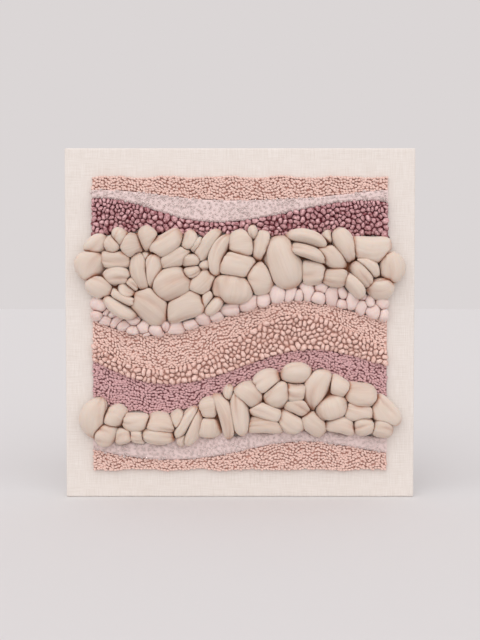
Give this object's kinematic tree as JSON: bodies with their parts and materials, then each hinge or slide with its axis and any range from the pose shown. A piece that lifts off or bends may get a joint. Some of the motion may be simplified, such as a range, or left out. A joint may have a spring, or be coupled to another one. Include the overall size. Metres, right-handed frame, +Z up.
{
  "type": "wool wall hanging with stretcher frame",
  "caption": "Square linen panel on a wooden stretcher frame, its face worked in wavy bands of looped pile, plush, bobbles and thick wool roving.",
  "frame": {"origin": "middle of the panel's underside, half way through the depth of its frame", "axes": "+Z up, -Y out of the worked face, +Y out of the back, +X to the right as seen from the front"},
  "size_m": [0.508, 0.0748, 0.508],
  "materials": {
    "wood": "bare planed softwood",
    "linen": "off-white plain-woven linen",
    "loops_rose": "fine wool loops, dusty rose",
    "loops_mauve": "fine wool loops, mauve",
    "bobbles_peach": "fat wool loops, peach",
    "bobbles_mauve": "fat wool loops, mauve",
    "plush": "cut wool plush, pale pink",
    "roving": "combed wool roving, beige",
    "roving_pink": "combed wool roving, pale pink"
  },
  "bodies": {
    "root": {"bar_bottom": "wood", "bar_left": "wood", "bar_top": "wood", "bar_right": "wood", "linen_cover": "linen", "rose_loops_low": "loops_rose", "plush_low": "plush", "roving_low": "roving", "mauve_loops": "loops_mauve", "peach_bobbles": "bobbles_peach", "rose_loops_middle": "loops_rose", "pink_roving": "roving_pink", "roving_high": "roving", "mauve_bobbles": "bobbles_mauve", "plush_high": "plush", "rose_loops_high": "loops_rose"}
  },
  "joints": []
}
